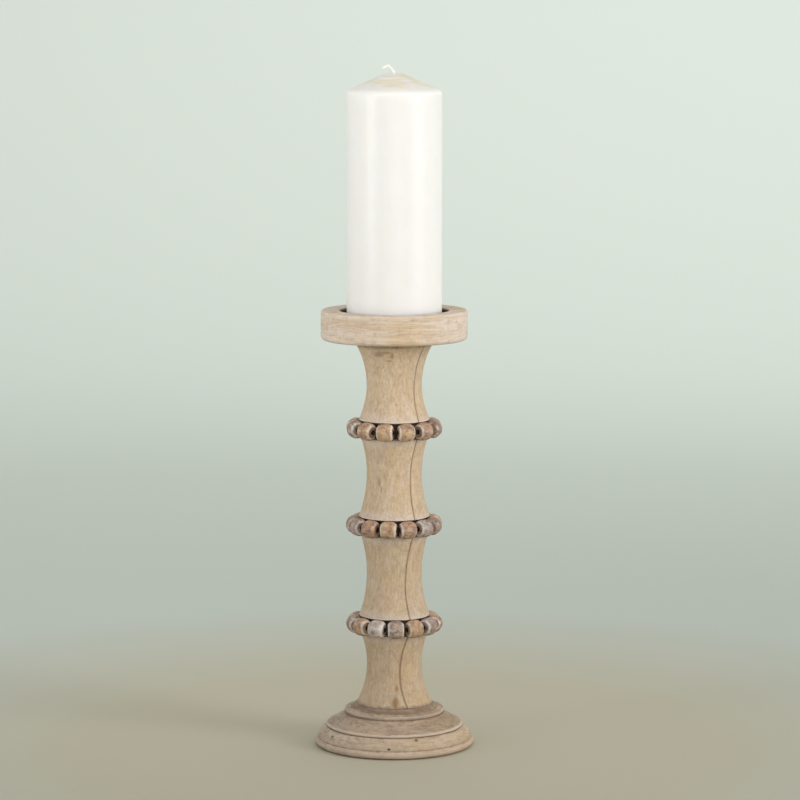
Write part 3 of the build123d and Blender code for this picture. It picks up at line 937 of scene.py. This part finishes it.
class CANDLE_STAND_OT_stem(bpy.types.Operator):
    """Turn the stem and part it into its two boards at the glue seam"""

    bl_idname = "candle_stand.stem"
    bl_label = "Stem boards"

    def execute(self, context):
        settings = context.scene.candle_stand
        sizes = settings.stem
        waist = sizes.lip_radius - sizes.hollow
        neck = sizes.lip_radius - sizes.groove_depth
        upper_lip = sizes.lip_radius - sizes.upper_lip_inset
        half_groove = sizes.groove_height / 2
        head = sizes.lip_radius + sizes.head_flare
        foot = sizes.lip_radius + sizes.foot_flare
        tops = [CUP_BOTTOM] + [STRING_HEIGHTS[string] - half_groove for string in STRINGS]
        bottoms = [STRING_HEIGHTS[string] + half_groove for string in STRINGS] + [BASE_TOP]
        outline = Outline(0, SPIKE_BOTTOM)
        outline.to(sizes.spike_hole_radius, SPIKE_BOTTOM)
        outline.to(sizes.spike_hole_radius, STEM_TOP)
        outline.to(sizes.tenon_radius, STEM_TOP)
        outline.to(sizes.tenon_radius, CUP_BOTTOM)
        for number, (top, bottom, waist_share) in enumerate(zip(tops, bottoms, WAIST_SHARES)):
            is_first, is_last = number == 0, bottom == BASE_TOP
            top_radius = head if is_first else upper_lip
            bottom_radius = foot if is_last else sizes.lip_radius
            waist_height = bottom + waist_share * (top - bottom)
            outline.to(top_radius, top, rounding=0 if is_first else sizes.lip_chamfer)
            outline.to(waist, waist_height, -upright_bulge(top_radius - waist, top - waist_height))
            outline.to(
                bottom_radius,
                bottom,
                -upright_bulge(bottom_radius - waist, waist_height - bottom),
                rounding=0 if is_last else sizes.lip_chamfer,
            )
            if not is_last:
                outline.to(neck, bottom - sizes.groove_wall_run)
                outline.to(neck, bottom - sizes.groove_height + sizes.groove_wall_run)
        outline.to(sizes.tenon_radius, BASE_TOP)
        outline.to(sizes.tenon_radius, STEM_BOTTOM)
        outline.to(sizes.screw_hole_radius, STEM_BOTTOM)
        outline.to(sizes.screw_hole_radius, sizes.screw_hole_top)
        outline.to(0, sizes.screw_hole_top)
        bm = outline.spun(steps=144, segment=1.0 * MM)
        wear_down(bm, SANDED_DEPTH, patch=18 * MM)
        shade_top, shade_fade = neck + 0.8 * MM, 0.5 * MM

        def painted_groove_shade(co):
            """Painted shade deep in the bead grooves, on the neck seen between the beads."""
            off = min(abs(co.z - height) for height in STRING_HEIGHTS.values())
            return (shade_top - co.xy.length) / shade_fade if off < half_groove else 0.0

        def cup_shade(co):
            """Painted shadow close under the cup, and darker at the foot."""
            under_cup = 0.75 - (CUP_BOTTOM - co.z) / (11 * MM)
            at_foot = 0.6 - (co.z - BASE_TOP) / (7 * MM)
            return max(under_cup, at_foot)

        def lip_wash(co):
            """Wash on the lips next to the beads, and a little more of it to the left."""
            off = min(abs(co.z - height) for height in STRING_HEIGHTS.values()) - half_groove
            return 0.8 * (1 - off / (5 * MM)) + 0.25 - 0.3 * co.x / sizes.lip_radius

        mark(bm, "soot_and_shade", painted_groove_shade)
        mark(bm, "stain", cup_shade)
        mark(bm, "brushed", lip_wash)
        lean = math.atan2(sizes.seam_foot_offset - sizes.seam_head_offset, CUP_BOTTOM - BASE_TOP)
        out = Vector((math.cos(SEAM_AZIMUTH), math.sin(SEAM_AZIMUTH), 0))
        origin = Vector((0, 0, BASE_TOP)) - out * sizes.seam_foot_offset
        normal = out * math.cos(lean) - Vector((0, 0, math.sin(lean)))
        seam = (origin, normal, sizes.seam_width)
        for side, node, warm_share, wash_share in (
            (1, "stem_back_board", 0.55, 0.45),
            (-1, "stem_front_board", 0.35, 0.5),
        ):
            board = bm.copy()
            part_at_seam(board, origin, normal * side, sizes)
            mark_wear(board)
            wood = washed_wood(
                f"whitewashed wood {node}",
                settings.tints,
                lie=(1.6, 1.6, 8.0),
                broad=(16.0, 16.0, 60.0),
                spots=STEM_KNOTS,
                seam=seam,
                wash_share=wash_share,
                warm_share=warm_share,
            )
            show(board, f"turned_{node}", wood, "stand", "washed_wood", node)
        bm.free()
        return {"FINISHED"}


def part_at_seam(bm, origin, inward, sizes):
    """Keep the side of the seam that inward points to, and draw in the cut's edge to sink the glue line."""
    everything = bm.verts[:] + bm.edges[:] + bm.faces[:]
    bmesh.ops.bisect_plane(
        bm, geom=everything, plane_co=origin + inward * sizes.seam_width, plane_no=inward, dist=MERGE
    )
    everything = bm.verts[:] + bm.edges[:] + bm.faces[:]
    cut = bmesh.ops.bisect_plane(
        bm, geom=everything, plane_co=origin, plane_no=inward, dist=MERGE, clear_inner=True
    )["geom_cut"]
    bmesh.ops.holes_fill(bm, edges=[g for g in cut if isinstance(g, bmesh.types.BMEdge)], sides=0)
    skin = sizes.lip_radius - sizes.hollow - 1 * MM
    for vert in (g for g in cut if isinstance(g, bmesh.types.BMVert)):
        radius = vert.co.xy.length
        if radius > skin:
            vert.co.xy *= (radius - sizes.seam_depth) / radius
    cleaned(bm)


class CANDLE_STAND_OT_cup(bpy.types.Operator):
    """Turn the cup with its recess"""

    bl_idname = "candle_stand.cup"
    bl_label = "Cup"

    def execute(self, context):
        settings = context.scene.candle_stand
        sizes = settings.cup
        radius = radius_of("cup")
        floor = CUP_TOP - sizes.recess_depth
        outline = Outline(sizes.spike_hole_radius, floor)
        outline.to(sizes.recess_radius, floor, rounding=sizes.floor_round)
        outline.to(sizes.recess_radius, CUP_TOP, rounding=sizes.recess_round)
        outline.to(radius, CUP_TOP, rounding=sizes.top_round)
        outline.to(radius, CUP_BOTTOM, rounding=sizes.bottom_round)
        outline.to(sizes.socket_radius, CUP_BOTTOM)
        outline.to(sizes.socket_radius, sizes.socket_top)
        outline.to(sizes.spike_hole_radius, sizes.socket_top)
        outline.to(sizes.spike_hole_radius, floor)
        bm = outline.spun(steps=192, segment=1.2 * MM)
        wear_down(bm, SANDED_DEPTH, patch=16 * MM)
        mark_wear(bm)
        shade_start, shade_fade = 26 * MM, 9 * MM

        def painted_recess_shade(co):
            """Painted shade on the recess's wall and round the edge of its floor."""
            reach = co.xy.length
            if reach > sizes.recess_radius + 0.5 * MM or co.z < floor - MM:
                return 0.0
            below_rim = (CUP_TOP - 0.5 * MM - co.z) / (1.2 * MM)
            return min(below_rim, (reach - shade_start) / shade_fade)

        def under_candle(co):
            """Painted shade on the floor of the recess, under the candle."""
            in_recess = co.xy.length < sizes.recess_radius and floor - MM < co.z < CUP_TOP - 2 * MM
            return 0.45 if in_recess else 0.0

        def brush_marks(co):
            """Wash on the side, more of it to the left and right, and less on the rim."""
            if co.z > CUP_TOP - MM:
                return 0.35
            return min(0.38 if co.x < 0 else 0.7, abs(co.x - 10 * MM) / radius - 0.1)

        mark(bm, "soot_and_shade", painted_recess_shade)
        mark(bm, "stain", under_candle)
        mark(bm, "brushed", brush_marks)
        wood = washed_wood(
            "whitewashed wood cup",
            settings.tints,
            lie=(30.0, 30.0, 1.1),
            broad=(34.0, 34.0, 8.0),
            wash_share=0.8,
            edge=0.25,
        )
        show(bm, "turned_cup", wood, "stand", "washed_wood", "cup")
        return {"FINISHED"}


class CANDLE_STAND_OT_steel(bpy.types.Operator):
    """Add the spike and its washer, and give the hidden base screw its finish"""

    bl_idname = "candle_stand.steel"
    bl_label = "Spike, washer and screw"

    def execute(self, context):
        settings = context.scene.candle_stand
        sizes = settings.steel
        steel = drawn_steel(settings.tints)
        outline = Outline(0, SPIKE_TIP)
        outline.to(sizes.spike_tip_radius, SPIKE_TIP, rounding=0.12 * MM)
        outline.to(sizes.spike_radius, WASHER_TOP)
        outline.to(sizes.spike_radius, SPIKE_BOTTOM, rounding=0.3 * MM)
        outline.to(0, SPIKE_BOTTOM)
        bm = outline.spun(steps=32, segment=2.0 * MM)
        show(bm, "steel_spike", steel, "stand", "steel", "pricket_spike")
        radius = radius_of("spike_washer")
        outline = Outline(sizes.washer_hole_radius, WASHER_TOP)
        outline.to(radius, WASHER_TOP, rounding=sizes.washer_round)
        outline.to(radius, WASHER_BOTTOM, rounding=sizes.washer_round)
        outline.to(sizes.washer_hole_radius, WASHER_BOTTOM)
        outline.to(sizes.washer_hole_radius, WASHER_TOP)
        bm = outline.spun(steps=64, segment=1.0 * MM)
        show(bm, "steel_washer", steel, "stand", "steel", "spike_washer")
        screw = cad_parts["base_screw"]
        screw.data.materials.clear()
        screw.data.materials.append(steel)
        return {"FINISHED"}


# Looks of a bead: place of its core colour among the stains from 0 to 1, wash at its lower and upper end, and
# film of wash all over
BEAD_LOOKS = {
    "mauve": (0.04, 0.3, 0.25, 0.04),
    "brown": (0.28, 0.1, 0.2, 0.0),
    "red": (0.5, 0.3, 0.1, 0.0),
    "orange": (0.68, 0.1, 0.35, 0.0),
    "ochre": (0.74, 0.3, 0.1, 0.0),
    "tan": (0.84, 0.3, 0.33, 0.0),
    "silver": (0.1, 0.3, 0.3, 0.2),
    "pale": (0.25, 0.25, 0.25, 0.1),
}
STRING_LOOKS = {
    "upper": "tan red brown ochre tan brown orange mauve tan mauve orange tan".split(),
    "middle": "tan red mauve brown ochre tan mauve red brown tan brown mauve red".split(),
    "lower": "pale ochre mauve red tan brown ochre mauve tan orange mauve orange silver".split(),
}


# Radius of one of three strands, as a share of the cord's and of the wick's radius
CORD_STRAND_SHARE = 0.48
WICK_STRAND_SHARE = 0.66
# Length of one turn of the wick's braid, and its thickness as a share of its width
BRAID_LENGTH = 6 * MM
BRAID_FLAT_SHARE = 0.7


class CANDLE_STAND_OT_bead_strings(bpy.types.Operator):
    """String the barrel beads on their twisted cords"""

    bl_idname = "candle_stand.bead_strings"
    bl_label = "Bead strings"

    def execute(self, context):
        settings = context.scene.candle_stand
        sizes = settings.beads
        wood = bead_wood(settings.tints)
        cord = cotton("twisted dark cord", settings.tints.cord, 0.5, 0.9)
        draw = random.Random(38)
        for string in STRINGS:
            nodes = bead_nodes(string)
            for node, look in zip(nodes, STRING_LOOKS[string]):
                bm = barrel_bead(sizes, BEAD_LOOKS[look], draw)
                middle = bead_place(node)
                out = Vector((middle.x, middle.y, 0)).normalized()
                along = Vector((-out.y, out.x, 0))
                turn = Matrix((out, along.cross(out), along)).transposed().to_4x4()
                bmesh.ops.transform(bm, matrix=Matrix.Translation(middle) @ turn, verts=bm.verts[:])
                bm.normal_update()
                show(bm, f"washed_{node}", wood, f"bead_string_{string}", "bead_wood", node)
            mesh = twisted_cord(f"twisted_cord_{string}", sizes, STRING_HEIGHTS[string], back_gap(nodes))
            show_mesh(mesh, cord, f"bead_string_{string}", "cord", f"bead_cord_{string}")
        return {"FINISHED"}


def barrel_bead(sizes, look, draw):
    """One bead about the origin with its hole along Z, a little uneven, with its own grain and wash."""
    core, wash_below, wash_above, film = look
    half, radius, belt = sizes.length / 2, sizes.diameter / 2, sizes.belt / 2
    bulge = upright_bulge(radius - sizes.end_radius, half - belt)
    outline = Outline(sizes.hole_radius, half)
    outline.to(sizes.end_radius, half)
    outline.to(radius, belt, bulge)
    outline.to(radius, -belt)
    outline.to(sizes.end_radius, -half, bulge)
    outline.to(sizes.hole_radius, -half)
    outline.to(sizes.hole_radius, half)
    bm = outline.spun(steps=40, segment=1.0 * MM)
    shift = Vector([draw.uniform(-1, 1) for _ in range(3)])
    place = bm.verts.layers.float_vector.new("bead_place")
    for vert in bm.verts:
        vert[place] = vert.co + shift

    def worn_wash(co):
        """Wash left on the rims of both ends, and a film of it all over."""
        near_end = (abs(co.z) / half - 0.68) / 0.2
        off_flat = (co.xy.length / sizes.end_radius - 1.0) / 0.1
        rim = max(0.0, min(1.0, near_end, off_flat))
        return film + (wash_above if co.z > 0 else wash_below) * rim

    def painted_end_shade(co):
        """Painted shade in the hole, and less of it on the flat end."""
        reach = co.xy.length / sizes.end_radius
        in_hole = (0.56 - reach) / 0.12
        on_flat = 0.18 * min(1.0, (1.1 - reach) / 0.1)
        return max(in_hole, on_flat)

    mark(bm, "core", lambda co: core)
    mark(bm, "wash", worn_wash)
    mark(bm, "end_shade", painted_end_shade)
    for vert in bm.verts:
        dip = 0.5 + 0.5 * noise.noise((vert.co + shift) / (5 * MM))
        vert.co -= vert.normal * sizes.unevenness * dip
    squeeze = [draw.uniform(0.985, 1.0) for _ in range(3)]
    bmesh.ops.scale(bm, vec=squeeze, verts=bm.verts[:])
    tilt = Matrix.Rotation(math.radians(draw.uniform(-3, 3)), 3, "X")
    spin = Matrix.Rotation(draw.uniform(0, math.tau), 3, "Z")
    bmesh.ops.rotate(bm, cent=(0, 0, 0), matrix=tilt @ spin, verts=bm.verts[:])
    return bm


def back_gap(nodes):
    """Angle of the gap between two beads that is nearest to the back, from the front towards +X."""
    step = math.tau / len(nodes)
    first = bead_place(nodes[0])
    start = math.atan2(first.x, -first.y)
    return start + step * (round((math.pi - start) / step - 0.5) + 0.5)


def on_string(angle, height, outward=0.0, upward=0.0):
    """Point of a bead string, moved outward and upward from its middle line."""
    reach = STRING_RADIUS + outward
    return Vector((reach * math.sin(angle), -reach * math.cos(angle), height + upward))


def twisted_cord(name, sizes, height, knot_angle):
    """Closed cord of three twisted strands, with a small knot wound round it."""
    strand = sizes.cord_radius * CORD_STRAND_SHARE
    offset = sizes.cord_radius - strand
    twists = round(math.tau * STRING_RADIUS / sizes.cord_lay)
    points = 8 * twists
    lines = []
    for phase in range(3):
        line = []
        for number in range(points):
            angle = math.tau * number / points
            turn = twists * angle + math.tau * phase / 3
            line.append(on_string(angle, height, offset * math.cos(turn), offset * math.sin(turn)))
        lines.append(line)
    mesh = strands_mesh(name, lines, strand, closed=True)
    wraps, wrap_step = 2, 2 * strand
    reach = sizes.cord_radius + strand * 0.6
    wrap = []
    for number in range(8 * wraps + 1):
        share = number / (8 * wraps) - 0.5
        turn = math.tau * wraps * share
        angle = knot_angle + share * wraps * wrap_step / STRING_RADIUS
        wrap.append(on_string(angle, height, reach * math.cos(turn), reach * math.sin(turn)))
    knot = strands_mesh("knot", [wrap], strand, closed=False)
    bm = bmesh.new()
    bm.from_mesh(mesh)
    bm.from_mesh(knot)
    bm.to_mesh(mesh)
    bm.free()
    bpy.data.meshes.remove(knot)
    return mesh


class CANDLE_STAND_OT_candle(bpy.types.Operator):
    """Mould the pillar candle"""

    bl_idname = "candle_stand.candle"
    bl_label = "Candle"

    def execute(self, context):
        settings = context.scene.candle_stand
        sizes = settings.candle
        radius = radius_of("candle")
        slope_top = CANDLE_APEX - sizes.tip_rise
        shoulder = slope_top - sizes.slope_rise
        outline = Outline(sizes.wick_hole_radius, CANDLE_APEX)
        outline.to(sizes.tip_round_radius, slope_top, sizes.tip_bulge)
        outline.to(radius, shoulder, rounding=sizes.shoulder_round)
        outline.to(radius, CANDLE_BOTTOM, rounding=sizes.foot_round)
        outline.to(sizes.spike_hole_radius, CANDLE_BOTTOM)
        outline.to(sizes.wick_hole_radius, SPIKE_TIP + sizes.spike_hole_clearance)
        outline.to(sizes.wick_hole_radius, CANDLE_APEX)
        bm = outline.spun(steps=128, segment=2.5 * MM)
        wear_down(bm, sizes.unevenness, patch=26 * MM)
        # Painted shade on the pointed top, fading in above the shoulder
        mark(bm, "shaded_top", lambda co: 0.7 * (co.z - shoulder - MM) / (3 * MM))
        show(bm, "pillar_candle", candle_wax(settings.tints), "candle", "wax", "candle")
        return {"FINISHED"}


# Route of the wick's middle line, up the candle, over to the left and down, in millimetres along X and Z
WICK_ROUTE = (
    (0.0, 346.2),
    (0.0, 420.0),
    (0.0, 490.0),
    (0.0, 496.8),
    (-0.7, 498.3),
    (-3.6, 501.3),
    (-4.5, 501.9),
    (-5.5, 501.6),
    (-8.4, 499.9),
)


class CANDLE_STAND_OT_wick(bpy.types.Operator):
    """Braid the wick and bend its end over"""

    bl_idname = "candle_stand.wick"
    bl_label = "Wick"

    def execute(self, context):
        settings = context.scene.candle_stand
        sizes = settings.candle
        points = [(across * MM, 0, height * MM) for across, height in WICK_ROUTE]
        route = strands_mesh("wick_route", [points], radius=0, closed=False, steps=32)
        middle = [vert.co.copy() for vert in route.vertices]
        bpy.data.meshes.remove(route)
        mesh = braided(middle, sizes.wick_radius)
        fibre = cotton("waxed cotton wick", settings.tints.cotton, 0.4, 0.7)
        show_mesh(mesh, fibre, "candle", "wick_cotton", "wick")
        return {"FINISHED"}


def braided(middle, radius):
    """Mesh of three strands braided along a line in the XZ plane."""
    strand = radius * WICK_STRAND_SHARE
    lines = []
    for phase in range(3):
        run = 0.0
        line = []
        for number, point in enumerate(middle):
            before, after = middle[max(0, number - 1)], middle[min(len(middle) - 1, number + 1)]
            ahead = (after - before).normalized()
            run += (point - before).length
            turn = math.tau * (run / BRAID_LENGTH + phase / 3)
            side = ahead.cross(Vector((0, 1, 0)))
            across = (radius - strand) * math.sin(turn)
            over = (radius - strand) * BRAID_FLAT_SHARE * math.sin(2 * turn)
            line.append(point + side * across + Vector((0, over, 0)))
        lines.append(line)
    return strands_mesh("braided_wick", lines, strand, closed=False)


class CANDLE_STAND_PT_panel(bpy.types.Panel):
    """Lists the pieces of the candle stand in the sidebar"""

    bl_idname = "CANDLE_STAND_PT_panel"
    bl_label = "Candle Stand"
    bl_space_type = "VIEW_3D"
    bl_region_type = "UI"
    bl_category = "Candle Stand"

    def draw(self, context):
        for operator in OPERATORS:
            self.layout.operator(operator.bl_idname)


SETTINGS = (BaseSizes, StemSizes, CupSizes, BeadSizes, CandleSizes, SteelSizes, FinishTints, StandSettings)
OPERATORS = (
    CANDLE_STAND_OT_stage,
    CANDLE_STAND_OT_base,
    CANDLE_STAND_OT_felt,
    CANDLE_STAND_OT_stem,
    CANDLE_STAND_OT_cup,
    CANDLE_STAND_OT_steel,
    CANDLE_STAND_OT_bead_strings,
    CANDLE_STAND_OT_candle,
    CANDLE_STAND_OT_wick,
)
CLASSES = (*SETTINGS, *OPERATORS, CANDLE_STAND_PT_panel)


def register():
    for cls in CLASSES:
        bpy.utils.register_class(cls)
    bpy.types.Scene.candle_stand = PointerProperty(type=StandSettings)


def unregister():
    del bpy.types.Scene.candle_stand
    for cls in reversed(CLASSES):
        bpy.utils.unregister_class(cls)


def main():
    register()
    bpy.ops.candle_stand.stage()
    bpy.ops.candle_stand.base()
    bpy.ops.candle_stand.felt()
    bpy.ops.candle_stand.stem()
    bpy.ops.candle_stand.cup()
    bpy.ops.candle_stand.steel()
    bpy.ops.candle_stand.bead_strings()
    bpy.ops.candle_stand.candle()
    bpy.ops.candle_stand.wick()


if __name__ == "__main__":
    main()
